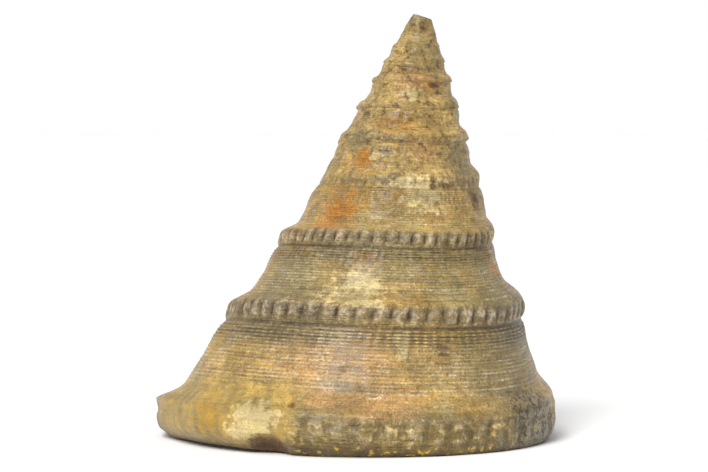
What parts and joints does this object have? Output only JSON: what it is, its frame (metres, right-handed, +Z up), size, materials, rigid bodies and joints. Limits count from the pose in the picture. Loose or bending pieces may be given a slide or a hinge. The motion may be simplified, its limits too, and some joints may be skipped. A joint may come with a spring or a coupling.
{
  "type": "fossil sea snail",
  "caption": "Fossil slit shell: a tall coiled cone with beaded keels and hollow flanks, worn tip, stone-filled mouth, standing on its worn base rim.",
  "frame": {"origin": "on the surface the shell stands on, below the middle of its box", "axes": "+Z up, from the worn base to the tip; +Y away from the side that the picture shows; +X to its right"},
  "size_m": [0.0454, 0.042, 0.0481],
  "materials": {
    "honey_limestone": "polished honey-brown limestone with grey-brown beads and cream, orange and ochre patches"
  },
  "bodies": {
    "root": {"fossil_shell": "honey_limestone"}
  },
  "joints": []
}
